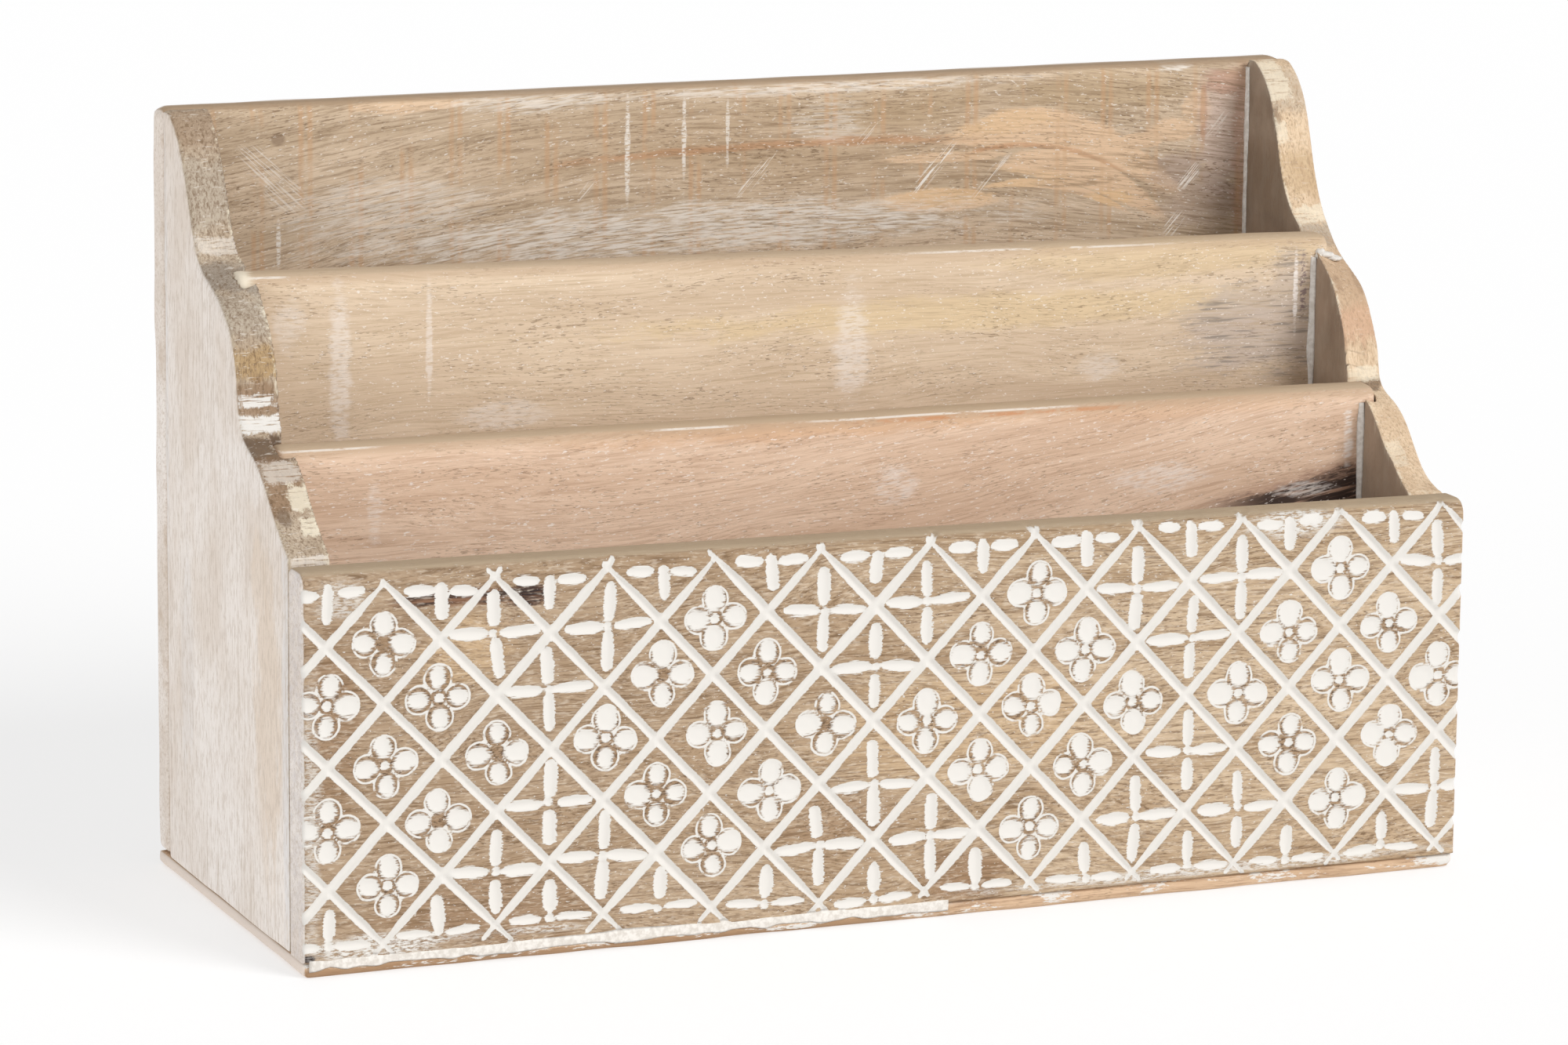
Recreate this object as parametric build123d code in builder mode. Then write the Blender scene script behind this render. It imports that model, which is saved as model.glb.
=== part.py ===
"""Letter rack in whitewashed hardwood: three letter compartments behind a carved front panel.

Millimetres. X runs along the width, Y from front to back, Z up. The origin is on the floor,
under the middle of the base board.
"""

import os
from math import atan2, degrees, hypot

from build123d import *

# Overall size
rack_width = 320.0
rack_depth = 122.0
rack_height = 201.5

# Boards
base_thickness = 4.0
front_thickness = 11.0
back_thickness = 10.0
side_thickness = 11.0
divider_thickness = 9.5

# Heights above the floor, where a hand-fitted board is not level from end to end
front_height_left = 102.5
front_height_right = 99.5
front_divider_height_left = 126.0
front_divider_height_right = 123.5
rear_divider_height_left = 165.0
rear_divider_height_right = 159.5

# Dividers: from the front of the rack to each divider's front face, and how far their ends go into the sides
front_divider_setback = 38.5
rear_divider_setback = 68.5
housing_depth = 4.5
fit_clearance = 0.1

# Hand-cut S edge of the sides: points as (back, up) from the corner named beside them
crown_flat = 4.0
crown_turn = (-10.5, -9.5)  # front end of the crown
upper_riser = (10.8, 10.0)  # back top corner of the rear divider
upper_notch = (5.5, 2.0)  # back top corner of the rear divider
upper_tread = (3.0, -1.0)  # front top corner of the rear divider, less the tread drop
upper_nose = (-8.5, -7.0)  # front top corner of the rear divider, less the tread drop
lower_riser = (-15.5, -17.0)  # front top corner of the rear divider, less the tread drop
lower_riser_foot = (2.8, 8.0)  # back top corner of the front divider
lower_notch = (0.0, 5.5)  # back top corner of the front divider, less the tread drop
lower_tread = (0.0, 1.2)  # front top corner of the front divider, less the tread drop
tread_drop_left = 3.0
tread_drop_right = 6.8
toe_rise_left = 1.5
toe_rise_right = 0.0
toe_sag_left = 0.0
toe_sag_right = 3.6

# Rounded and worn edges
panel_front_round = 4.0
panel_rear_round = 2.0
divider_front_round = 4.0
divider_rear_round = 2.0
back_top_round = 1.5
side_edge_round = 0.8
corner_round = 1.2
base_round = 0.8
largest_round_share = 0.45  # of the board's thickness

# Carving: a diagonal lattice, counted in half steps of its pitch
lattice_columns = 21
lattice_rows = 6
lattice_side_margin = 6.5
lattice_top_margin = 0.6
lattice_bottom_margin = 3.0
groove_overrun = 1.2
groove_width = 2.4
carving_depth = 0.8

# Brads, their sunk heads and the filler over them
brad_diameter = 1.4
brad_length = 22.0
brad_point = 2.0
brad_tip_diameter = 0.35
head_diameter = 2.2
head_height = 0.9
filler_depth = 1.0
base_head_recess = 0.3
brad_clearance = 0.05
front_nail_rows_left = (1.3, 4.7)
front_nail_rows_right = (2.3, 3.7)
back_nail_heights = (30.0, 100.0, 170.0)
rear_divider_nail_heights = (40.0, 120.0)
front_divider_nail_heights = (35.0, 95.0)
base_nail_pitch = 100.0

# Derived places, in the rack's own frame
left_face = -rack_width / 2
right_face = rack_width / 2
front_face = -rack_depth / 2
rear_face = rack_depth / 2
panel_back = front_face + front_thickness
back_front = rear_face - back_thickness
front_divider_front = front_face + front_divider_setback
front_divider_back = front_divider_front + divider_thickness
rear_divider_front = front_face + rear_divider_setback
rear_divider_back = rear_divider_front + divider_thickness
side_middle = right_face - side_thickness / 2
divider_half_length = right_face - side_thickness + housing_depth - fit_clearance
front_height = min(front_height_left, front_height_right)


def upright_plane(y):
    """A plane across the rack, seen from the front: X to the right, Z up."""
    return Plane(origin=(0, y, 0), x_dir=(1, 0, 0), z_dir=(0, -1, 0))


def rounding(radius, thickness):
    """A rounding that leaves some flat on a board of this thickness."""
    return min(radius, largest_round_share * thickness)


def lattice_point(column, row):
    """Where a lattice column and row meet on the front face, as (x, z)."""
    across = (rack_width - 2 * lattice_side_margin) / lattice_columns
    top = front_height - lattice_top_margin
    down = (top - base_thickness - lattice_bottom_margin) / lattice_rows
    return (left_face + lattice_side_margin + column * across, top - row * down)


def seats_on_face(points, y, facing):
    """Nail seats on the front or back: a plane at each (x, z) point, looking out of the board."""
    return [Plane(origin=(x, y, z), z_dir=(0, facing, 0)) for x, z in points]


# Nail seats, shared by the boards, the nails and the filler
front_seats = seats_on_face(
    [(-side_middle, lattice_point(0, row)[1]) for row in front_nail_rows_left]
    + [(side_middle, lattice_point(0, row)[1]) for row in front_nail_rows_right],
    front_face,
    -1,
)
back_seats = seats_on_face(
    [(x, z) for x in (-side_middle, side_middle) for z in back_nail_heights], rear_face, 1
)


def side_seats(divider_front, heights):
    """Nail seats on both sides, over the middle of a divider's end."""
    middle = divider_front + divider_thickness / 2
    return [
        Plane(origin=(facing * right_face, middle, z), z_dir=(facing, 0, 0))
        for facing in (-1, 1)
        for z in heights
    ]


rear_divider_seats = side_seats(rear_divider_front, rear_divider_nail_heights)
front_divider_seats = side_seats(front_divider_front, front_divider_nail_heights)

front_compartment_middle = (panel_back + front_divider_front) / 2
rear_compartment_middle = (rear_divider_back + back_front) / 2
base_points = [
    (x, y)
    for x in (-base_nail_pitch, 0, base_nail_pitch)
    for y in ((front_face + panel_back) / 2, (back_front + rear_face) / 2)
] + [
    (x, y)
    for x in (-side_middle, side_middle)
    for y in (front_compartment_middle, rear_compartment_middle)
]
base_seats = [Plane(origin=(x, y, 0), z_dir=(0, 0, -1)) for x, y in base_points]

# Holes for the brads: a shank hole through both boards, wider over the head
shank_radius = brad_diameter / 2 + brad_clearance
head_radius = head_diameter / 2 + brad_clearance
sunk_depth = filler_depth + head_height
shank_depth = filler_depth + brad_length + brad_clearance
base_sunk_depth = base_head_recess + head_height
base_shank_depth = base_head_recess + brad_length + brad_clearance

# Base board
with BuildPart() as base_board:
    with BuildSketch():
        Rectangle(rack_width, rack_depth)
    extrude(amount=base_thickness)
    fillet(base_board.edges().filter_by(Axis.Z), corner_round)
    fillet(base_board.faces().sort_by(Axis.Z)[0].edges(), rounding(base_round, base_thickness))
    with Locations(*base_seats):
        CounterBoreHole(shank_radius, head_radius, base_sunk_depth, base_shank_depth)
base_board.part.label = "base_board"

# Lattice grooves of the carved front, kept clear of the panel's rounded ends
with BuildSketch(upright_plane(front_face)) as lattice:
    origin_x, top_z = lattice_point(0, 0)
    end_x, bottom_z = lattice_point(lattice_rows, lattice_rows)
    slope = degrees(atan2(top_z - bottom_z, end_x - origin_x))
    groove_length = hypot(end_x - origin_x, top_z - bottom_z) + 2 * groove_overrun
    half_rows = lattice_rows / 2
    groove_middles = [
        lattice_point(column - half_rows, half_rows)
        for column in range(1, lattice_columns + lattice_rows + 1, 2)
    ]
    with Locations(*groove_middles):
        Rectangle(groove_length, groove_width, rotation=slope)
        Rectangle(groove_length, groove_width, rotation=-slope)
    with Locations((0, (top_z + bottom_z) / 2)):
        Rectangle(
            rack_width - 2 * corner_round, top_z - bottom_z + 2 * groove_overrun, mode=Mode.INTERSECT
        )

# Front panel
with BuildPart() as front_panel:
    with BuildSketch(upright_plane(front_face)):
        with BuildLine():
            Polyline(
                (left_face, base_thickness),
                (right_face, base_thickness),
                (right_face, front_height_right),
                (left_face, front_height_left),
                close=True,
            )
        make_face()
    extrude(amount=-front_thickness)
    fillet(front_panel.faces().sort_by(Axis.Y)[0].edges().filter_by(Axis.Z), corner_round)
    top_edges = front_panel.faces().sort_by(Axis.Z)[-1].edges().sort_by(SortBy.LENGTH)[-2:]
    fillet(top_edges.sort_by(Axis.Y)[0], rounding(panel_front_round, front_thickness))
    rear_edge = front_panel.edges().filter_by(GeomType.LINE).group_by(Axis.Y)[-1].sort_by(Axis.Z)[-1]
    fillet(rear_edge, rounding(panel_rear_round, front_thickness))
    with Locations(*front_seats):
        CounterBoreHole(shank_radius, head_radius, sunk_depth, shank_depth)
    with Locations(*base_seats):
        Hole(shank_radius, base_shank_depth)
    extrude(lattice.sketch, amount=-carving_depth, mode=Mode.SUBTRACT)
front_panel.part.label = "front_panel"

# Back board
with BuildPart() as back_board:
    with BuildSketch(upright_plane(back_front)):
        with Locations((0, (base_thickness + rack_height) / 2)):
            Rectangle(rack_width, rack_height - base_thickness)
    extrude(amount=-back_thickness)
    fillet(back_board.faces().sort_by(Axis.Y)[-1].edges().filter_by(Axis.Z), corner_round)
    top_edges = back_board.faces().sort_by(Axis.Z)[-1].edges().filter_by(GeomType.LINE)
    fillet(top_edges, rounding(back_top_round, back_thickness))
    with Locations(*back_seats):
        CounterBoreHole(shank_radius, head_radius, sunk_depth, shank_depth)
    with Locations(*base_seats):
        Hole(shank_radius, base_shank_depth)
back_board.part.label = "back_board"


def shifted(corner, offset, drop=0.0):
    """A point (y, z) at an offset from a corner, lowered by a drop."""
    return (corner[0] + offset[0], corner[1] + offset[1] - drop)


def s_edge(rear_top, front_top, panel_top, tread_drop, toe_rise, toe_sag):
    """Points of a side's S edge as (y, z), from the crown down to the front panel."""
    crown = (back_front - crown_flat, rack_height)
    rear_back_corner = (rear_divider_back, rear_top)
    rear_front_corner = (rear_divider_front, rear_top)
    front_back_corner = (front_divider_back, front_top)
    tread = shifted((front_divider_front, front_top), lower_tread, tread_drop)
    toe = (panel_back, panel_top + toe_rise)
    toe_slope = ((tread[0] + toe[0]) / 2, (tread[1] + toe[1]) / 2 - toe_sag)
    return [
        crown,
        shifted(crown, crown_turn),
        shifted(rear_back_corner, upper_riser),
        shifted(rear_back_corner, upper_notch),
        shifted(rear_front_corner, upper_tread, tread_drop),
        shifted(rear_front_corner, upper_nose, tread_drop),
        shifted(rear_front_corner, lower_riser, tread_drop),
        shifted(front_back_corner, lower_riser_foot),
        shifted(front_back_corner, lower_notch, tread_drop),
        tread,
        toe_slope,
        toe,
    ]


def make_side(facing, edge_points):
    """One side board: S-edged profile, grooves for the divider ends, holes for the brads."""
    inner_face = facing * (right_face - side_thickness)
    with BuildPart() as side:
        with BuildSketch(Plane.YZ.offset(facing * right_face)):
            with BuildLine():
                Polyline(
                    (panel_back, edge_points[-1][1]),
                    (panel_back, base_thickness),
                    (back_front, base_thickness),
                    (back_front, rack_height),
                    edge_points[0],
                )
                Spline(*edge_points)
            make_face()
        extrude(amount=-facing * side_thickness)
        edge_face = side.faces().filter_by(GeomType.EXTRUSION)[0]
        fillet(edge_face.edges().filter_by(GeomType.BSPLINE), side_edge_round)
        with BuildSketch(Plane.YZ.offset(inner_face)):
            for divider_front in (front_divider_front, rear_divider_front):
                with Locations((divider_front + divider_thickness / 2, rack_height / 2)):
                    Rectangle(divider_thickness + 2 * fit_clearance, rack_height)
        extrude(amount=facing * housing_depth, mode=Mode.SUBTRACT)
        with Locations(*rear_divider_seats, *front_divider_seats):
            CounterBoreHole(shank_radius, head_radius, sunk_depth, shank_depth)
        with Locations(*front_seats, *back_seats):
            Hole(shank_radius, shank_depth)
        with Locations(*base_seats):
            Hole(shank_radius, base_shank_depth)
    return side


# Sides
left_edge = s_edge(
    rear_divider_height_left,
    front_divider_height_left,
    front_height_left,
    tread_drop_left,
    toe_rise_left,
    toe_sag_left,
)
right_edge = s_edge(
    rear_divider_height_right,
    front_divider_height_right,
    front_height_right,
    tread_drop_right,
    toe_rise_right,
    toe_sag_right,
)
left_side = make_side(-1, left_edge)
right_side = make_side(1, right_edge)
left_side.part.label = "left_side"
right_side.part.label = "right_side"


def make_divider(divider_front, top_left, top_right, seats):
    """An upright divider that stands on the base board, rounded along the top."""
    with BuildPart() as divider:
        with BuildSketch(upright_plane(divider_front)):
            with BuildLine():
                Polyline(
                    (-divider_half_length, base_thickness),
                    (divider_half_length, base_thickness),
                    (divider_half_length, top_right),
                    (-divider_half_length, top_left),
                    close=True,
                )
            make_face()
        extrude(amount=-divider_thickness)
        top_edges = divider.faces().sort_by(Axis.Z)[-1].edges().sort_by(SortBy.LENGTH)[-2:]
        fillet(top_edges.sort_by(Axis.Y)[0], rounding(divider_front_round, divider_thickness))
        rear_edge = divider.edges().filter_by(GeomType.LINE).group_by(Axis.Y)[-1].sort_by(Axis.Z)[-1]
        fillet(rear_edge, rounding(divider_rear_round, divider_thickness))
        with Locations(*seats):
            Hole(shank_radius, shank_depth)
    return divider


# Dividers
rear_divider = make_divider(
    rear_divider_front, rear_divider_height_left, rear_divider_height_right, rear_divider_seats
)
front_divider = make_divider(
    front_divider_front, front_divider_height_left, front_divider_height_right, front_divider_seats
)
rear_divider.part.label = "rear_divider"
front_divider.part.label = "front_divider"


def make_nails(seats, sunk):
    """A brad in each seat, its head sunk below the board's face."""
    shank = brad_length - head_height - brad_point
    with BuildPart() as nails:
        with Locations(*[seat.offset(-sunk - head_height / 2) for seat in seats]):
            Cylinder(head_diameter / 2, head_height)
        with Locations(*[seat.offset(-sunk - head_height - shank / 2) for seat in seats]):
            Cylinder(brad_diameter / 2, shank)
        with Locations(*[seat.offset(-sunk - brad_length + brad_point / 2) for seat in seats]):
            Cone(brad_tip_diameter / 2, brad_diameter / 2, brad_point)
    return nails


def make_filler(seats):
    """A plug of filler over each sunk head, flush with the board's face."""
    with BuildPart() as filler:
        with Locations(*[seat.offset(-filler_depth / 2) for seat in seats]):
            Cylinder(head_diameter / 2, filler_depth)
    return filler


# Fasteners and filler
small_parts = {
    "front_panel_nails": make_nails(front_seats, filler_depth),
    "back_board_nails": make_nails(back_seats, filler_depth),
    "rear_divider_nails": make_nails(rear_divider_seats, filler_depth),
    "front_divider_nails": make_nails(front_divider_seats, filler_depth),
    "base_board_nails": make_nails(base_seats, base_head_recess),
    "front_nail_filler": make_filler(front_seats),
    "back_nail_filler": make_filler(back_seats),
    "side_nail_filler": make_filler(rear_divider_seats + front_divider_seats),
}
for name, piece in small_parts.items():
    piece.part.label = name

# One STEP file for each piece
os.makedirs("parts", exist_ok=True)
export_step(base_board.part, "parts/base_board.step")
export_step(front_panel.part, "parts/front_panel.step")
export_step(back_board.part, "parts/back_board.step")
export_step(left_side.part, "parts/left_side.step")
export_step(right_side.part, "parts/right_side.step")
export_step(rear_divider.part, "parts/rear_divider.step")
export_step(front_divider.part, "parts/front_divider.step")
for name, piece in small_parts.items():
    export_step(piece.part, f"parts/{name}.step")
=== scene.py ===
"""Dresses the letter rack: worn whitewashed boards, a carved and painted front, dried glue in the corners.

Lengths are in millimetres, and mm turns them into Blender's metres. Tones are 0 to 255, as a screen shows
them.
"""

import itertools
import math

import bpy
import numpy as np
from mathutils import Matrix, Vector
from mathutils.kdtree import KDTree


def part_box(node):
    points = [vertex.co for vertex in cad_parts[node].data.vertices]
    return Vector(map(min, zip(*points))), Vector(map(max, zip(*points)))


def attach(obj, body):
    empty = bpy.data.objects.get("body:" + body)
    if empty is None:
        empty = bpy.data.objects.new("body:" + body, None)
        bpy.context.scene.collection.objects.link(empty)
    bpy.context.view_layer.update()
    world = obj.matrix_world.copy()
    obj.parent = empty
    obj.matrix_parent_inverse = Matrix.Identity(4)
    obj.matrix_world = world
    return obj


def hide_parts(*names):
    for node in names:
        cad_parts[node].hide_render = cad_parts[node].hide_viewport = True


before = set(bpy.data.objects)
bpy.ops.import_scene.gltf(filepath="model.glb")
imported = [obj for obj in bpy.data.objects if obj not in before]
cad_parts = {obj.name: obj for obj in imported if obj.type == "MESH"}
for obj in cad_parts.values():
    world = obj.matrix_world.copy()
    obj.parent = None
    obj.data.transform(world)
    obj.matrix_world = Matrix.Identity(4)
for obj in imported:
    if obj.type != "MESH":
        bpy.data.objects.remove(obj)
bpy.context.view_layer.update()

mm = 0.001
up_axis = 2
chance = np.random.default_rng(seed=7)

# Where the boards of the frame stand
end_zone = 3.0


def rows_of(mesh, key):
    """Three numbers of each vertex of a mesh, as rows."""
    flat = np.empty(len(mesh.vertices) * 3)
    mesh.vertices.foreach_get(key, flat)
    return flat.reshape(-1, 3)


def points_mm(mesh):
    """A mesh's vertices as rows of x, y, z in millimetres."""
    return rows_of(mesh, "co") / mm


def box_mm(node):
    low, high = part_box(node)
    return np.array(low) / mm, np.array(high) / mm


def end_height(node, side):
    """How high a board stands at its left (-1) or right (1) end, for a top edge that slopes."""
    points = points_mm(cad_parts[node].data)
    reach = points[:, 0] * side
    return points[reach > reach.max() - end_zone, up_axis].max()


panel_low, panel_high = box_mm("front_panel")
panel_top_left = end_height("front_panel", -1)
panel_top_right = end_height("front_panel", 1)

# Smooth seeded noise for shapes
hash_primes = np.array([73856093, 19349663, 83492791])
hash_mixer = 1274126177
hash_mask = 0xFFFF
seed_shift = 31.7


def smooth_step(value, low, high):
    """Goes smoothly from 0 to 1 as the value goes from low to high."""
    share = np.clip((value - low) / (high - low), 0, 1)
    return share * share * (3 - 2 * share)


def lumps(points, pitch, seed):
    """Noise from -1 to 1 at each point, with lumps about one pitch across."""
    scaled = points / pitch + seed * seed_shift
    cell = np.floor(scaled).astype(np.int64)
    part = smooth_step(scaled - cell, 0, 1)
    total = np.zeros(len(points))
    for corner in itertools.product((0, 1), repeat=3):
        code = (cell + corner) @ hash_primes
        code = (code ^ (code >> 13)) * hash_mixer
        value = 2 * ((code >> 8) & hash_mask) / hash_mask - 1
        total += value * np.prod(np.where(corner, part, 1 - part), axis=1)
    return total


# Carved lattice of the front panel, counted in columns and rows
lattice_columns = 21
lattice_rows = 6
lattice_side_margin = 6.5
lattice_top_margin = 0.6
lattice_bottom_margin = 3.0
lattice_lift = 3.3
lift_column = 5
lift_columns = 5
groove_half_width = 1.25
groove_width_range = (0.9, 1.1)
groove_depth = 1.1
groove_taper = 12.0
groove_tip = 0.25
groove_overrun_top = (0.0, 2.2)
groove_overrun_bottom = (0.6, 2.6)
groove_stray = 0.35
second_cut_ends = ((11, 0), (9, 2))
second_cut_shift = (0.9, 0.5)

# Flowers in the diamonds of the lattice
petal_offset = 4.75
petal_radius = 3.7
petal_size_range = (0.94, 1.05)
petal_turn = 0.05
petal_stray = 0.15
petal_depth = 0.5
ring_width = 0.45
ring_depth = 0.35
fill_range = (0.62, 0.9)
fill_gain = 0.12
fill_shift = 0.5
fill_stretch = 1.12
fill_squeeze = 0.86
fill_slope = (-0.4, 1.6)
flower_core = 2.2
dot_radius = 1.25
dot_share = 0.85
flower_dot_stray = 0.2
cross_dot_stray = 0.3

# Dashes of the crosses, and of the half crosses on the border rows: reach from the middle, half width and
# how far the ends are drawn out
cross_column = 4
cross_repeat = 6
dash_half_width = 1.55
level_point = (0.3, 0.5)
upright_point = (0.1, 0.26)
leaf_point = (0.2, 0.4)
level_dash = ((1.3, 12.0), dash_half_width, level_point)
upright_dash = ((1.5, 11.0), 1.7, upright_point)
top_level_dash = ((2.2, 9.8), 1.45, level_point)
top_upright_dash = ((-1.7, 7.2), 1.7, upright_point)
bottom_level_dash = ((1.6, 11.0), 1.25, level_point)
bottom_upright_dash = ((1.4, 9.9), 1.75, leaf_point)
top_dash_inset = 2.2
bottom_dash_inset = 0.3
dash_width_range = (0.88, 1.14)
dash_depth = 0.7
dash_turn = 0.05
dash_stray = 0.35
motif_reach = 13.0
motif_stray = 0.45

# Layers of cuts, and how far the edge of each one wobbles
far_outside = -9.0
cut_names = ("groove", "petal", "hollow", "dash", "core")
cut_wobble = {"groove": 0.1, "petal": 0.25, "hollow": 0.4, "dash": 0.1}
cut_wobble_pitch = 2.6

column_pitch = (panel_high[0] - panel_low[0] - 2 * lattice_side_margin) / lattice_columns
lattice_top = panel_top_right - lattice_top_margin
row_pitch = (lattice_top - panel_low[2] - lattice_bottom_margin) / lattice_rows


def lift_at(column):
    """How far the lattice was marked out too high at the foot of a column."""
    return lattice_lift * smooth_step(abs(column - lift_column), lift_columns, 0)


def lattice_point(column, row):
    """The x and z of a place in the lattice, counted from its top left corner."""
    x = panel_low[0] + lattice_side_margin + column * column_pitch
    return np.array([x, lattice_top - row * row_pitch + lift_at(column) * row / lattice_rows])


def groove_lines():
    """Every straight groove: its two ends, whether each end tapers, and its half width."""
    margin = lattice_side_margin / column_pitch
    rising_starts = range(1, lattice_columns + lattice_rows + 1, 2)
    falling_starts = range(1 - lattice_rows, lattice_columns + 1, 2)
    lines = []
    for slope, starts in ((1, falling_starts), (-1, rising_starts)):
        for start in starts:
            top_row = -chance.uniform(*groove_overrun_top) / row_pitch
            overrun = lift_at(start + slope * lattice_rows) + chance.uniform(*groove_overrun_bottom)
            bottom_row = lattice_rows + overrun / row_pitch
            edge_rows = sorted(((-margin - start) * slope, (lattice_columns + margin - start) * slope))
            first_row = max(top_row, edge_rows[0])
            last_row = min(bottom_row, edge_rows[1])
            ends = [lattice_point(start + slope * row, row) for row in (first_row, last_row)]
            ends = [end + chance.normal(0, groove_stray, 2) for end in ends]
            tapers = (first_row == top_row, last_row == bottom_row)
            lines.append((*ends, tapers, groove_half_width * chance.uniform(*groove_width_range)))
    ends = [lattice_point(*end) + np.array(second_cut_shift) for end in second_cut_ends]
    lines.append((*ends, (True, True), groove_half_width))
    return lines


def groove(points, first, last, tapers, half_width):
    """How far inside a straight groove each point lies; the groove narrows to a tip where it tapers."""
    along = last - first
    length = np.hypot(*along)
    along = along / length
    travel = np.clip((points - first) @ along, 0, length)
    away = np.hypot(*(points - first - travel[:, None] * along).T)
    width = np.full(len(points), half_width)
    for tapered, to_end in zip(tapers, (travel, length - travel)):
        if tapered:
            width = width * np.sqrt(np.clip(to_end / groove_taper, groove_tip, 1))
    return width - away


def motif_kind(column, row):
    """Crosses stand in diamonds of their own among the flowers; the border rows have half crosses."""
    if row in (0, lattice_rows):
        return "border"
    away = abs((column - cross_column + cross_repeat / 2) % cross_repeat - cross_repeat / 2)
    return "cross" if away < abs(row - lattice_rows / 2) else "flower"


def add_cut(layers, name, near, cut):
    """Joins a cut to a layer, at the points near it."""
    layers[name][near] = np.maximum(layers[name][near], cut)


def add_dot(layers, near, local, stray):
    middle = chance.normal(0, stray, 2)
    add_cut(layers, "dash", near, dot_radius - np.hypot(*(local - middle).T))


def add_flower(layers, near, local, middle):
    """Four stamped petals, each with a cut outline and a painted hollow, round a dot."""
    turn = chance.normal(0, petal_turn)
    share_along = (middle[0] - panel_low[0]) / (panel_high[0] - panel_low[0])
    for quarter in range(4):
        angle = turn + quarter * math.pi / 2 + chance.normal(0, petal_turn)
        outward = np.array([math.cos(angle), math.sin(angle)])
        sideways = np.array([-outward[1], outward[0]])
        centre = outward * (petal_offset + chance.normal(0, petal_stray))
        radius = petal_radius * chance.uniform(*petal_size_range)
        fill = chance.uniform(*fill_range) + fill_gain * share_along
        away = local - centre
        petal = radius - np.hypot(*away.T)
        away = away - outward * fill_shift
        hollow = np.hypot(away @ outward / fill_stretch, away @ sideways / fill_squeeze)
        inside = petal > layers["petal"][near]
        layers["petal"][near] = np.where(inside, petal, layers["petal"][near])
        layers["hollow"][near] = np.where(inside, radius * fill - hollow, layers["hollow"][near])
    add_cut(layers, "core", near, flower_core - np.hypot(*local.T))
    if chance.uniform() < dot_share:
        add_dot(layers, near, local, flower_dot_stray)


def add_dash(layers, near, local, direction, reach, half_width, point):
    """A dash along a direction, from one reach to the other; point is how far its ends are drawn out."""
    across = np.array([-direction[1], direction[0]])
    along = np.array(direction) + chance.normal(0, dash_turn) * across
    inner, outer = np.array(reach) + chance.normal(0, dash_stray, 2)
    half_width = half_width * chance.uniform(*dash_width_range)
    travel = local @ along - inner
    length = outer - inner
    share = np.clip(travel / length, 0, 1)
    width = half_width * (4 * share * (1 - share)) ** chance.uniform(*point)
    beyond = np.maximum(0, np.maximum(-travel, travel - length))
    away = np.hypot(local @ np.array([-along[1], along[0]]), beyond)
    add_cut(layers, "dash", near, width - away)


def dashes_of(row):
    """The dashes of a cross, or of the half cross on a border row, each with its direction."""
    level, upright = ((1, 0), (-1, 0)), ((0, 1), (0, -1))
    cuts = (level, level_dash), (upright, upright_dash)
    if row == 0:
        cuts = (level, top_level_dash), (upright[1:], top_upright_dash)
    if row == lattice_rows:
        cuts = (level, bottom_level_dash), (upright[:1], bottom_upright_dash)
    return [(way, *dash) for ways, dash in cuts for way in ways]


def carve(points):
    """How far inside each kind of cut the points (x, z) of the panel's face lie, in millimetres."""
    layers = {name: np.full(len(points), far_outside) for name in cut_names}
    for line in groove_lines():
        layers["groove"] = np.maximum(layers["groove"], groove(points, *line))
    for row, column in itertools.product(range(lattice_rows + 1), range(lattice_columns + 1)):
        if (row + column) % 2:
            continue
        kind = motif_kind(column, row)
        middle = lattice_point(column, row) + chance.normal(0, motif_stray, 2)
        if kind == "border":
            middle[1] += bottom_dash_inset if row else -top_dash_inset
        near = np.flatnonzero((abs(points - middle) < motif_reach).all(axis=1))
        local = points[near] - middle
        if kind == "flower":
            add_flower(layers, near, local, middle)
            continue
        for dash in dashes_of(row):
            add_dash(layers, near, local, *dash)
        if row:
            add_dot(layers, near, local, cross_dot_stray)
    spread = np.column_stack([points, np.zeros(len(points))])
    for seed, (name, wobble) in enumerate(cut_wobble.items()):
        layers[name] += wobble * lumps(spread, cut_wobble_pitch, seed)
    return layers


def carved_depth(layers):
    """How deep the gouge went at each point."""
    groove = 1 - np.clip(1 - layers["groove"] / groove_half_width, 0, 1) ** 2
    dash = 1 - np.clip(1 - layers["dash"] / dash_half_width, 0, 1) ** 2
    hollow = smooth_step(layers["hollow"], *fill_slope)
    ring = np.clip(1 - abs(layers["petal"] - ring_width / 2) / ring_width, 0, 1)
    cuts = [groove_depth * groove, dash_depth * dash, petal_depth * hollow, ring_depth * ring]
    return np.max(cuts, axis=0)


# Meshes of new pieces


def new_piece(name, points, faces):
    """A mesh object from rows of millimetres, shaded smooth."""
    mesh = bpy.data.meshes.new(name)
    mesh.from_pydata((points * mm).tolist(), [], faces)
    mesh.shade_smooth()
    piece = bpy.data.objects.new(name, mesh)
    bpy.context.scene.collection.objects.link(piece)
    return piece


def keep_layer(mesh, name, values):
    """Stores one number for each vertex, for a material to read."""
    layer = mesh.attributes.new(name, "FLOAT", "POINT")
    layer.data.foreach_set("value", values.astype(np.float32))


def move_points(mesh, points):
    """Puts a mesh's vertices at rows of millimetres."""
    mesh.vertices.foreach_set("co", (points * mm).ravel())
    mesh.update()


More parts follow.
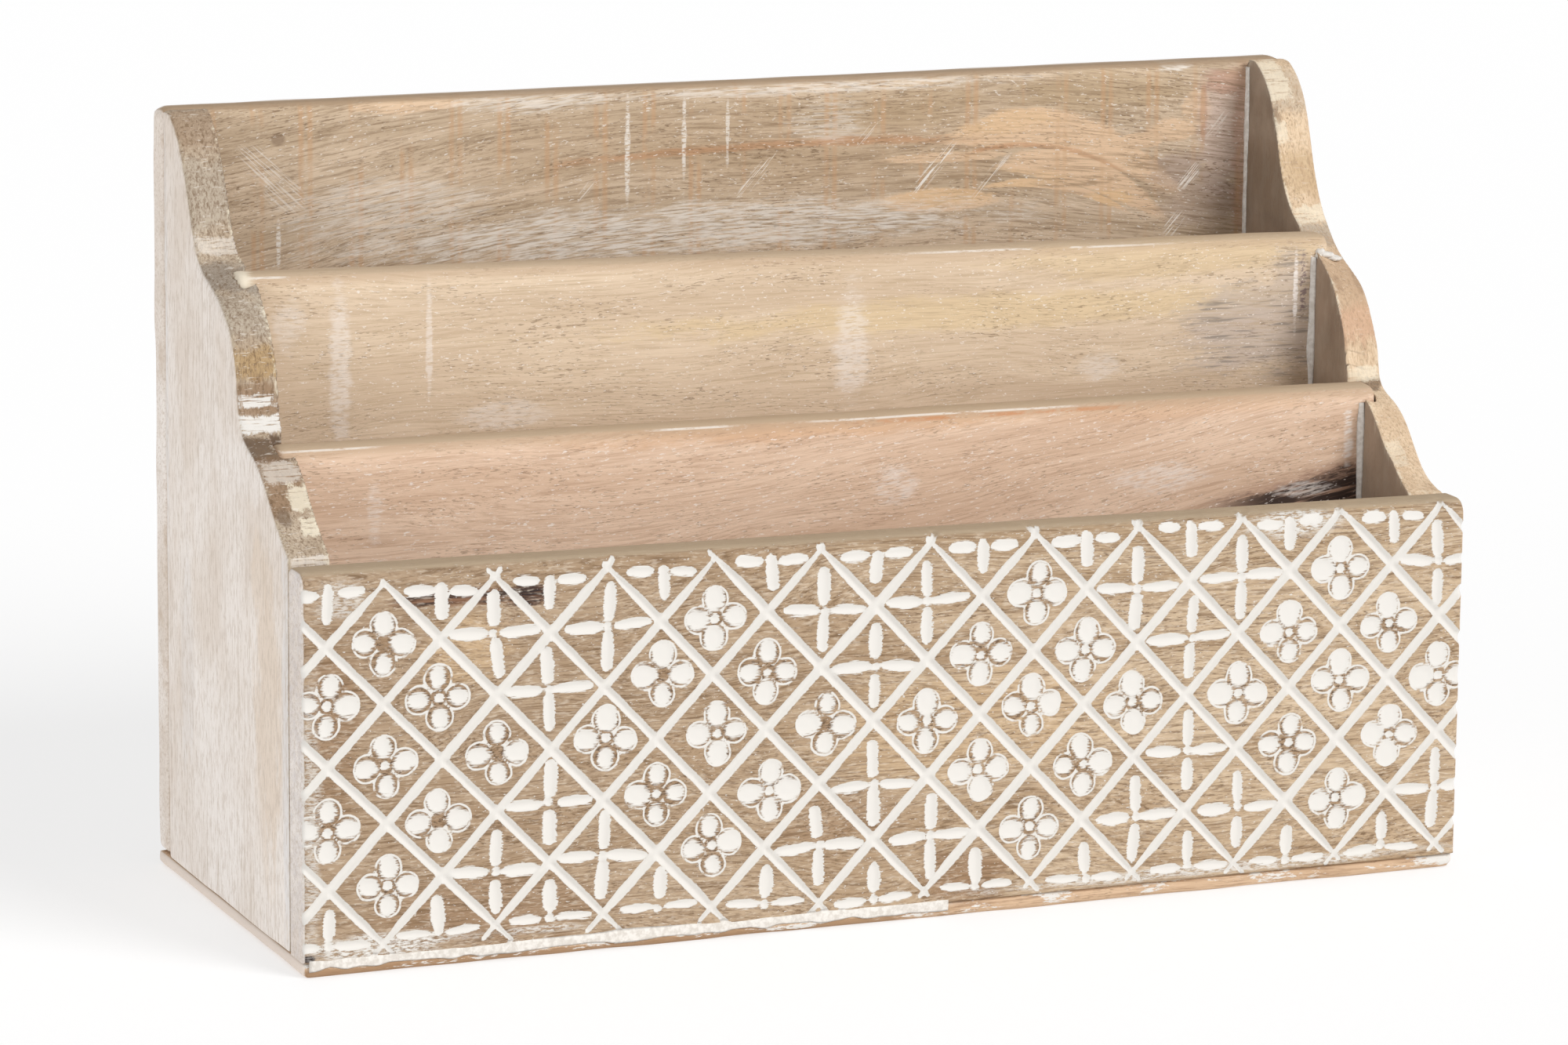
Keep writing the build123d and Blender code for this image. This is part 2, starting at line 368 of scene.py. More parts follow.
def tube_faces(count, around, first=0, flipped=False):
    """Quads between stacked rings, and a face at each end; flipped is for rings that run the other way."""
    index = first + np.arange(count * around).reshape(count, around)
    turned = np.roll(index, -1, axis=1)
    quads = np.stack([index[:-1], turned[:-1], turned[1:], index[1:]], axis=-1).reshape(-1, 4)
    ends = [index[0][::-1], index[-1]]
    if flipped:
        quads = quads[:, [0, 3, 2, 1]]
        ends = [end[::-1] for end in ends]
    return quads.tolist() + [end.tolist() for end in ends]


# Front panel: its section swept from end to end, with the carving pushed into the face
panel_round_front = 4.0
panel_round_rear = 2.0
panel_end_round = 1.2
panel_face_step = 0.62
panel_back_step = 8.0
panel_paint_film = 0.05
panel_sag = 0.12
panel_sag_pitch = 22.0
panel_sag_seed = 3
face_turn = -0.2
arc_steps = 8


def rounded_rows(edge, radius, side, angles):
    """Rows of the section round a top edge; side is -1 at the front and 1 at the back."""
    rows = []
    for angle in angles:
        turn, rise = math.cos(angle), math.sin(angle)
        rows.append((edge - side * radius * (1 - turn), 1, radius * (1 - rise), side * turn, rise))
    return rows


def panel_section():
    """Rows of y, share of the height, drop below the top, outward y and z, up the face and down the back."""
    front, back = panel_low[1], panel_high[1]
    height = panel_top_right - panel_low[2]
    up_the_face = np.linspace(0, 1, int(height / panel_face_step))
    down_the_back = np.linspace(1, 0, int(height / panel_back_step))[1:]
    angles = np.linspace(0, math.pi / 2, arc_steps)
    rows = [(front, share, panel_round_front, -1, 0) for share in up_the_face]
    rows += rounded_rows(front, panel_round_front, -1, angles[1:])
    rows += rounded_rows(back, panel_round_rear, 1, angles[::-1])
    rows += [(back, share, panel_round_rear, 1, 0) for share in down_the_back]
    return np.array(rows).T


def panel_columns():
    """Places along the panel, closer together where its ends are rounded."""
    turns = np.linspace(0, math.pi / 2, arc_steps)[:-1]
    end = panel_end_round * (1 - np.cos(turns))
    inner_low, inner_high = panel_low[0] + panel_end_round, panel_high[0] - panel_end_round
    middle = np.linspace(inner_low, inner_high, int((inner_high - inner_low) / panel_face_step))
    return np.concatenate([panel_low[0] + end, middle, panel_high[0] - end[::-1]])


def carved_panel():
    y, share, drop, out_y, out_z = panel_section()
    x = panel_columns()[:, None]
    along = (x - panel_low[0]) / (panel_high[0] - panel_low[0])
    top = panel_top_left + along * (panel_top_right - panel_top_left)
    z = panel_low[2] + share * (top - drop - panel_low[2])
    x, y, z, out_y, out_z = (np.broadcast_to(row, z.shape).ravel() for row in (x, y, z, out_y, out_z))
    on_face = np.flatnonzero(out_y < face_turn)
    layers = {name: np.full(len(x), far_outside) for name in cut_names}
    for name, values in carve(np.column_stack([x, z])[on_face]).items():
        layers[name][on_face] = values
    to_end = np.minimum(x - panel_low[0], panel_high[0] - x)
    rounded = np.clip(panel_end_round - to_end, 0, panel_end_round)
    inset = panel_end_round - np.sqrt(panel_end_round ** 2 - rounded ** 2)
    sag = panel_sag * lumps(np.column_stack([x, y, z]), panel_sag_pitch, panel_sag_seed)
    inward = inset + carved_depth(layers) + sag - panel_paint_film
    points = np.column_stack([x, y - out_y * inward, z - out_z * inward])
    piece = new_piece("front_panel_carved", points, tube_faces(len(top), len(share), flipped=True))
    for polygon in piece.data.polygons[-2:]:
        polygon.use_smooth = False
    for name, values in layers.items():
        keep_layer(piece.data, name, values)
    return piece


# Worn boards: even copies of the CAD boards, with their edges rubbed down by hand
rub_passes = 8
rub_lump = 13.0
rub_mean = 0.55
rub_swing = 0.6
rub_least = 0.12
wear_passes = 2
skin = 0.05
filler_reach = 1.8
filler_depth = 2.0
crisp_round = 1.7
rasp_fade = 8.0
# Places along y, and how far the inner arris of the side is lifted there
rasp_lifts = {
    "left_side": ((-26, -18, -10, -4, 2, 7, 14, 19, 26), (0, 1.5, 0, 0.5, 1.5, 3.6, 4.0, 2.0, 0)),
    "right_side": ((-50, -40, -25, -7, 0, 12, 24, 34), (0, 4.5, 3.0, 4.5, 4.0, 6.0, 2.0, 0)),
}


def neighbour_mean(values, edges):
    """For each vertex, the mean of a value over the vertices it shares an edge with."""
    first, second = edges.T
    size = len(values)
    count = np.maximum(np.bincount(edges.ravel(), minlength=size), 1)
    columns = []
    for column in values.T:
        total = np.bincount(first, column[second], size) + np.bincount(second, column[first], size)
        columns.append(total / count)
    return np.column_stack(columns)


def cover_filler(points, node, axis, sign):
    """Closes a board's sunk nail holes with a skin of paint over their putty."""
    putty = points_mm(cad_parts[node].data)
    tree = KDTree(len(putty))
    for index, place in enumerate(putty):
        tree.insert(place, index)
    tree.balance()
    reach = points[:, axis] * sign
    face = reach.max()
    for index in np.flatnonzero(reach > face - filler_depth):
        if tree.find(points[index])[2] < filler_reach:
            points[index, axis] = sign * (face + skin)


def crisp_arris(points, normals, inward):
    """Brings the arris round a side's inner face back out to a corner; inward is the way it looks along x."""
    across = normals[:, 0] * inward
    along = np.sqrt(np.clip(1 - across ** 2, 0, 1))
    reach = crisp_round * (1 / np.maximum(across, along) - 1)
    return points + np.where(across > 0, reach, 0)[:, None] * normals


def rasped(points, inward, places, lifts):
    """A side with its cut edge rasped aslant: the inner arris is lifted by so much at each place along y."""
    reach = points[:, 0] * inward
    strip = np.floor(points[:, 1]).astype(int)
    strip = strip - strip.min()
    edge = np.full(strip.max() + 1, -np.inf)
    np.maximum.at(edge, strip, points[:, up_axis])
    below = edge[strip] - points[:, up_axis]
    share = (reach - reach.min()) / (reach.max() - reach.min()) * smooth_step(below, rasp_fade, 0)
    lift = np.interp(points[:, 1], places, lifts) * share
    return points + lift[:, None] * np.array([0, 0, 1])


def worn_copy(node, face_size, rub, seed, filler=None):
    """A copy of a CAD board in small even faces; rub is how strongly its edges are worn, 0 to 1."""
    piece = bpy.data.objects.new(node + "_worn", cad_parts[node].data.copy())
    bpy.context.scene.collection.objects.link(piece)
    even = piece.modifiers.new("even_faces", "REMESH")
    even.mode = "VOXEL"
    even.voxel_size = face_size * mm
    seen = piece.evaluated_get(bpy.context.evaluated_depsgraph_get())
    mesh = bpy.data.meshes.new_from_object(seen)
    piece.modifiers.clear()
    piece.data = mesh

    points = points_mm(mesh)
    edges = np.empty(len(mesh.edges) * 2, dtype=np.int32)
    mesh.edges.foreach_get("vertices", edges)
    edges = edges.reshape(-1, 2)
    start = points.copy()
    strength = rub * np.clip(rub_mean + rub_swing * lumps(points, rub_lump, seed), rub_least, 1)
    for _ in range(rub_passes):
        points += strength[:, None] * (neighbour_mean(points, edges) - points)
    if filler:
        cover_filler(points, *filler)
    worn = np.linalg.norm(points - start, axis=1)[:, None]
    for _ in range(wear_passes):
        worn = neighbour_mean(worn, edges)
    keep_layer(mesh, "arris", np.clip(worn[:, 0] / face_size, 0, 1))
    mesh.shade_smooth()
    mesh.materials.clear()
    move_points(mesh, points)
    return piece


def worn_side(node, inward, seed):
    """A worn side board, with its inner arris kept crisp and its cut edge aslant."""
    filler = ("side_nail_filler", 0, -inward)
    piece = worn_copy(node, face_size=0.8, rub=0.5, seed=seed, filler=filler)
    points = crisp_arris(points_mm(piece.data), rows_of(piece.data, "normal"), inward)
    move_points(piece.data, rasped(points, inward, *rasp_lifts[node]))
    return piece


# Dried glue in the inner corners. A bead stands on the front of a board: its lowest and highest points, and
# its reach along x and y
bead_runs = [
    ("back_board", 150.0, 200.5, 0.6, 1.6),
    ("rear_divider", 112.0, 154.5, 1.3, 0.8),
    ("front_divider", 84.0, 119.5, 1.2, 1.0),
]
bead_step = 1.3
bead_turns = 5
bead_root = 0.6
bead_swell = 0.4
bead_lump = 9.0
bead_crumb = 2.5
bead_crumb_share = 0.4
left_bead_seed = 20

# Lumps of putty at the right end of the rear divider: middle and reach, along x, y and z
putty_lumps = [
    ((150.5, 7.4, 154.8), (1.2, 1.2, 1.2)),
    ((149.9, 7.0, 153.8), (1.0, 1.1, 0.9)),
    ((152.2, 7.0, 154.2), (2.0, 1.6, 0.9)),
    ((154.4, 6.6, 153.2), (2.2, 1.8, 0.8)),
]
lump_levels = 7
lump_turns = 10
lump_end = 0.92
lump_swell = 0.35
lump_pitch = 0.5

# Paint in the front seam. Its section is in shares of its bulge, and of its reach above or below the seam
seam_section = np.array([(0.6, 0.0), (0.3, -1.0), (-0.1, -0.8), (-0.4, -0.3), (-0.4, 0.3), (0.1, 1.0)])
seam_start = 1.5
seam_end = 14.0
seam_step = 1.4
seam_bulge = 0.3
seam_above = 1.0
seam_below = 1.9
seam_swell = 0.35
seam_lump = 4.0
seam_shift = 5.0
seam_seed = 40


def bead_rings(corner, z_low, z_high, side, reach_x, reach_y, seed):
    """Rings of points up an inner corner, bulging unevenly into the open quarter; side is -1 or 1."""
    rings = []
    for z in np.arange(z_low, z_high, bead_step):
        ring = [(corner[0] + side * bead_root, corner[1] + bead_root, z)]
        for angle in np.linspace(0, math.pi / 2, bead_turns):
            flat = 1 / (math.cos(angle) + math.sin(angle))
            x = -side * reach_x * math.cos(angle) * flat
            y = -reach_y * math.sin(angle) * flat
            ring.append((corner[0] + x, corner[1] + y, z))
        rings.append(ring)
    rings = np.array(rings)
    points = rings.reshape(-1, 3)
    swell = lumps(points, bead_lump, seed) + bead_crumb_share * lumps(points, bead_crumb, seed + 1)
    swell = 1 + bead_swell * swell.reshape(rings.shape[:2] + (1,))
    grown = rings.copy()
    grown[:, 1:, :2] = corner + (rings[:, 1:, :2] - corner) * swell[:, 1:]
    return grown


def lump_rings(middle, reach, seed):
    """A small uneven lump, as rings from its foot to its top."""
    turns = np.linspace(0, 2 * math.pi, lump_turns, endpoint=False)
    rings = []
    for level in np.linspace(-lump_end, lump_end, lump_levels) * math.pi / 2:
        wide, high = math.cos(level), math.sin(level)
        rings.append([(wide * math.cos(turn), wide * math.sin(turn), high) for turn in turns])
    rings = np.array(rings)
    swell = 1 + lump_swell * lumps(rings.reshape(-1, 3) + seed * lump_pitch, lump_pitch, seed)
    return np.array(middle) + rings * np.array(reach) * swell.reshape(rings.shape[:2] + (1,))


def seam_rings():
    """Rings of points along the front seam over the base board, where paint has clogged it."""
    places = np.arange(panel_low[0] + seam_start, seam_end, seam_step)
    reach = np.where(seam_section[:, 1] < 0, seam_below, seam_above)
    rings = np.zeros((len(places), len(seam_section), 3))
    rings[:, :, 0] = places[:, None]
    swell = 1 + seam_swell * lumps(rings[:, 0] + seam_shift, seam_lump, seam_seed)
    rings[:, :, 1] = panel_low[1] + seam_section[:, 0] * seam_bulge
    rings[:, :, 2] = panel_low[2] + seam_section[:, 1] * reach * swell[:, None]
    return rings


def glue_piece():
    """Every bead and lump, joined into one piece."""
    inner_right = box_mm("right_side")[0][0]
    inner_left = box_mm("left_side")[1][0]
    shapes = []
    for seed, (node, *heights, reach_x, reach_y) in enumerate(bead_runs):
        face = box_mm(node)[0][1]
        shapes.append(bead_rings((inner_right, face), *heights, 1, reach_x, reach_y, seed))
        shapes.append(bead_rings((inner_left, face), *heights, -1, reach_x, reach_y, seed + left_bead_seed))
    for seed, (middle, reach) in enumerate(putty_lumps):
        shapes.append(lump_rings(middle, reach, seed))
    shapes.append(seam_rings())
    points, faces = [], []
    for rings in shapes:
        faces += tube_faces(*rings.shape[:2], first=sum(len(part) for part in points))
        points.append(rings.reshape(-1, 3))
    return new_piece("glue_and_putty", np.concatenate(points), faces)


# Materials
noise_seed_step = 3.17
spot_edge = 0.9
spot_raggedness = 1.6
line_core = 0.2
comb_sway = 6.0
dab_edge = 0.15
shine = 0.25
matt = 0.8

paint_white = (217, 213, 207)
wash_white = (226, 218, 208)
cream = (232, 222, 200)
pore_brown = (112, 88, 64)
stain_black = (52, 40, 36)


def light_of(red, green, blue):
    """A screen tone as the linear light that a shader takes."""
    screen = np.array([red, green, blue]) / 255
    linear = np.where(screen <= 0.04045, screen / 12.92, ((screen + 0.055) / 1.055) ** 2.4)
    return (*linear.tolist(), 1.0)


def per_length(size):
    """One over a length in millimetres; None is endless."""
    return 1 / (size * mm) if size else 0.0


class Value:
    """What a material works out at each point: a share, a length or a place. a | b is whichever is more."""

    def __init__(self, finish, socket):
        self.finish = finish
        self.socket = socket

    def __add__(self, other):
        return self.finish.math("ADD", self, other)

    def __sub__(self, other):
        return self.finish.math("SUBTRACT", self, other)

    def __rsub__(self, other):
        return self.finish.math("SUBTRACT", other, self)

    def __mul__(self, other):
        return self.finish.math("MULTIPLY", self, other)

    def __or__(self, other):
        return self.finish.math("MAXIMUM", self, other)

    def along(self, axis):
        return self.finish.node("ShaderNodeSeparateXYZ", {0: self}, axis)

    def step(self, low, high):
        """Goes smoothly from 0 to 1 as the value goes from low to high."""
        edges = {0: self, 1: low, 2: high}
        return self.finish.node("ShaderNodeMapRange", edges, interpolation_type="SMOOTHSTEP")

    def ramp(self, low, high):
        """A step between two places, in millimetres."""
        return self.step(low * mm, high * mm)

    def line(self, middle, half_width):
        """1 where a place is near its middle, in millimetres."""
        away = self.finish.math("ABSOLUTE", self - middle * mm)
        return away.ramp(half_width, line_core * half_width)


class Finish:
    """A material in the making, with its colour and its height so far."""

    def __init__(self, name, grain_axis="X", arch=None):
        self.material = bpy.data.materials.new(name)
        self.material.use_nodes = True
        self.tree = self.material.node_tree
        self.shader = self.tree.nodes["Principled BSDF"]
        self.place = self.node("ShaderNodeTexCoord", {}, "Object")
        self.normal = self.node("ShaderNodeNewGeometry", {}, "Normal")
        self.x, self.y, self.z = (self.place.along(axis) for axis in "XYZ")
        self.grain_axis = grain_axis
        self.seed = 0.0
        self.grain_place = self.arched(*arch) if arch else self.place
        self.fine = self.grain(2.0, 0.5, 3.0, 0.65) - 0.5
        self.ragged = self.grain(14.0, 4.0, 4.0, 0.6) - 0.5 + self.fine * 0.5

    def feed(self, socket, value):
        if isinstance(value, Value):
            self.tree.links.new(value.socket, socket)
        else:
            socket.default_value = value

    def node(self, kind, inputs, output=0, **settings):
        """Adds a node, feeds its inputs by their names or numbers, and returns one of its outputs."""
        added = self.tree.nodes.new(kind)
        for key, value in settings.items():
            setattr(added, key, value)
        for key, value in inputs.items():
            self.feed(added.inputs[key], value)
        return Value(self, added.outputs[output])

    def math(self, operation, first, second=0.0):
        return self.node("ShaderNodeMath", {0: first, 1: second}, operation=operation)

    def vector(self, operation, *values):
        output = "Value" if operation == "LENGTH" else "Vector"
        return self.node("ShaderNodeVectorMath", dict(enumerate(values)), output, operation=operation)

    def join(self, *values):
        return self.node("ShaderNodeCombineXYZ", dict(enumerate(values)))

    def push(self, place, amount, axes):
        """The place, moved by an amount along the axes named."""
        return self.vector("ADD", place, self.join(*[amount if axis in axes else 0.0 for axis in "XYZ"]))

    def blend(self, share, first, second):
        """Goes from the first tone to the second one. A mix node's colours are its inputs 6 and 7 and its
        output 2."""
        first, second = (shade if isinstance(shade, Value) else light_of(*shade) for shade in (first, second))
        return self.node("ShaderNodeMix", {0: share, 6: first, 7: second}, 2, data_type="RGBA")

    def coat(self, shade, share):
        """Covers a share of the colour so far with another tone."""
        self.colour = self.blend(share, self.colour, shade)

    def layer(self, name):
        return self.node("ShaderNodeAttribute", {}, "Fac", attribute_name=name)

    def noise(self, sizes, detail=3.0, roughness=0.55, place=None):
        """Noise from 0 to 1; sizes are the lengths of a lump along x, y and z, and None is endless."""
        self.seed += noise_seed_step
        scale = tuple(per_length(size) for size in sizes)
        spread = self.vector("MULTIPLY_ADD", place or self.place, scale, (self.seed,) * 3)
        inputs = {"Vector": spread, "Scale": 1.0, "Detail": detail, "Roughness": roughness}
        return self.node("ShaderNodeTexNoise", inputs, "Fac")

    def grain(self, along, across, detail=3.0, roughness=0.55, place=None):
        """Noise drawn out along the board's grain; along and across are the lengths of a streak."""
        sizes = [along if axis == self.grain_axis else across for axis in "XYZ"]
        return self.noise(sizes, detail, roughness, place or self.grain_place)

    def arched(self, middle, curve):
        """The place with its height bent, so that level grain runs in an arch over x = middle."""
        away = self.x - middle * mm
        return self.push(self.place, away * away * (curve / mm), "Z")

    def wander(self, along, across, amount):
        """The place, pushed to and fro across the grain so that straight streaks wander."""
        sway = (self.grain(along, across, 1.0) - 0.5) * (amount * mm)
        return self.push(self.grain_place, sway, "XYZ".replace(self.grain_axis, ""))

    def flecks(self, along, across, low, high):
        """Short strokes left in the grain."""
        return self.grain(along, across, 2.0, 0.6).step(low, high)

    def spot(self, x, z, width, height, ragged=1.0, place=None, soft=0.3):
        """A patch with a ragged and soft edge on an upright board: its middle, half its width and half its
        height. None is a direction in which the patch has no end."""
        away = self.vector("SUBTRACT", place or self.place, (x * mm, 0.0, z * mm))
        away = self.vector("MULTIPLY", away, (per_length(width), 0.0, per_length(height)))
        length = self.vector("LENGTH", away) + self.ragged * (spot_raggedness * ragged)
        return length.step(spot_edge + soft, spot_edge - soft)

    def spots(self, *rows, **look):
        """The union of spots; a row is a spot's x, z, width and height, then its strength."""
        first, *others = [self.spot(*spot, **look) * strength for *spot, strength in rows]
        for other in others:
            first = first | other
        return first

    def comb(self, pitch, apart, half_width):
        """Pairs of thin upright lines, at nearly even places along x."""
        sway = (self.noise((60.0, None, None), 2.0) - 0.5) * (comb_sway * mm)
        beside = self.math("PINGPONG", self.x + sway, pitch / 2 * mm)
        return beside.line(apart / 2, half_width)

    def scratches(self, tilt, *groups):
        """Thin scratches on an upright board, rising to the right by so many degrees; a group is its
        middle x and z, its length, its width and its strength."""
        slope = math.radians(tilt)
        inputs = {"Vector": self.place, "Angle": slope}
        turned = self.node("ShaderNodeVectorRotate", inputs, rotation_type="Y_AXIS")
        rows = []
        for x, z, length, width, strength in groups:
            along = x * math.cos(slope) + z * math.sin(slope)
            above = z * math.cos(slope) - x * math.sin(slope)
            rows.append((along, above, length / 2, width / 2, strength))
        lines = self.noise((12.0, None, 0.4), 2.0, 0.5, turned).step(0.5, 0.57)
        return self.spots(*rows, ragged=0.7, place=turned) * lines

    def facing(self, axis, sign, low=0.5, high=0.8):
        """1 where the surface faces along an axis."""
        return (self.normal.along(axis) * sign).step(low, high)

    def ends(self):
        """1 on both ends of a board that lies along x."""
        return self.facing("X", -1) | self.facing("X", 1)

    def planed(self, pale, middle, dark, pores=0.4, streaks=0.7, wave=12.0, patches=()):
        """Planed hardwood: broad bands, patches of other tones, fine streaks and short dark pores. A patch is
        its tone and its share."""
        place = self.wander(90.0, 26.0, wave)
        bands = self.grain(120.0, 7.0, 4.0, 0.6, place)
        lines = self.grain(18.0, 0.6, 4.0, 0.7, place)
        ticks = self.grain(2.2, 0.36, 2.0, 0.5, place)
        clusters = self.grain(26.0, 7.0, 2.0).step(0.36, 0.62)
        self.colour = self.blend(bands.step(0.34, 0.66), pale, middle)
        for patch in patches:
            self.coat(*patch)
        self.coat(dark, lines.step(0.43, 0.69) * streaks)
        pore = ticks.step(0.57, 0.67) * clusters * pores
        self.coat(pore_brown, pore)
        self.height = lines * -0.3 - pore * 0.5

    def whitewash(self, where, *patches):
        """Thin white paint brushed over the outside: cloudy, with patches of other tones, a speckle and
        streaks. A patch is its tone and its share."""
        under = self.colour
        cloudy = self.noise((26.0, 26.0, 45.0)).step(0.36, 0.66)
        self.colour = self.blend(cloudy, (240, 232, 225), (228, 216, 205))
        for patch in patches:
            self.coat(*patch)
        self.coat((196, 180, 164), self.grain(4.0, 1.0, 3.0, 0.75).step(0.46, 0.64) * 0.5)
        self.coat((190, 172, 154), self.grain(40.0, 1.0).step(0.54, 0.7) * 0.4)
        self.colour = self.blend(where, under, self.colour)

    def done(self, roughness=matt, bump=0.3):
        """The finished material."""
        normal = self.node("ShaderNodeBump", {"Strength": bump, "Distance": mm, "Height": self.height})
        self.feed(self.shader.inputs["Base Color"], self.colour)
        self.feed(self.shader.inputs["Roughness"], roughness)
        self.feed(self.shader.inputs["Specular IOR Level"], shine)
        self.feed(self.shader.inputs["Normal"], normal)
        return self.material


def carved_wood():
    wood = Finish("carved_wood")
    brown = wood.spots((18, 11, 14, 8, 0.6), (-110, 14, 34, 10, 0.4), (-20, 30, 20, 8, 0.3),
                       (-152, 62, 7, 24, 0.4))
    honey = wood.spots((-118, 80, 12, 9, 0.5), (20, 50, 40, 16, 0.35))
    to_left = wood.x.ramp(130, -150) * 0.6
    patches = [((146, 122, 98), to_left), ((206, 176, 138), honey), ((130, 96, 66), brown)]
    wood.planed((198, 175, 147), (172, 146, 116), (108, 82, 56), 0.8, 0.8, 30.0, patches)
    charred = wood.spots((-117, 93.6, 18, 2.2, 0.9), (-101, 93, 7, 3.0, 1.0))
    wood.coat((112, 70, 48), charred * 0.8)
    wood.coat(stain_black, charred * wood.flecks(12.0, 0.7, 0.36, 0.6))
    wood.coat((222, 208, 190), wood.flecks(2.6, 0.6, 0.5, 0.7) * 0.35)
    wood.coat((174, 155, 130), wood.facing("Z", 1, 0.72, 0.9) * 0.85)
    chip = wood.spot(-158.6, 5.2, 2.0, 1.1, 0.6)
    wood.coat(stain_black, chip)

    groove = (wood.layer("groove") + wood.fine * 0.5).step(-0.12, 0.12)
    hairs = wood.grain(4.0, 0.45, 3.0, 0.6) - 0.5
    dash = (wood.layer("dash") + hairs * 1.9).step(-0.15, 0.15)
    petal = wood.layer("petal") + wood.fine * 0.4
    worn_ring = wood.grain(3.0, 2.0, 2.0).step(0.3, 0.45)
    core = (wood.layer("core") + wood.fine).step(-0.2, 0.3)
    ring = petal.step(-0.15, 0.05) * petal.step(0.62, 0.4) * worn_ring * (1 - core)
    hollow = (wood.layer("hollow") + hairs * 3.2).step(-0.4, 0.45) * petal.step(0.0, 0.3)
    gap = petal.step(0.3, 0.8) | core
    # Painted shade in the gaps of the petals and round the flower's middle; the dark flecks that follow are
    # grime in the cuts.
    wood.coat((140, 112, 84), gap * 0.5)
    wood.coat((84, 64, 48), gap * wood.flecks(1.6, 0.5, 0.52, 0.62) * 0.8)

    smear = wood.spots((112, 96.5, 16, 3.4, 1.0), (-150, 95, 7, 5, 0.6), (-140, 7, 24, 3.4, 1.0),
                       (90, 6, 70, 1.6, 0.8), (-96, 7.3, 12, 1.2, 0.8), (-158, 40, 3, 40, 0.6))
    smear = smear * wood.fine.step(-0.1, 0.08)
    crumbs = wood.flecks(1.3, 0.5, 0.66, 0.72) * 0.85
    paint = (groove | dash | ring | hollow | smear | crumbs) * wood.facing("Y", -1, 0.3, 0.6)
    wood.whitewash(wood.ends(), ((208, 200, 198), wood.ragged.step(-0.25, 0.25) * 0.7))
    wood.coat(paint_white, paint)
    wood.height = wood.height * (1 - paint) + paint * 0.2
    return wood.done(matt - paint * 0.2, bump=0.4)


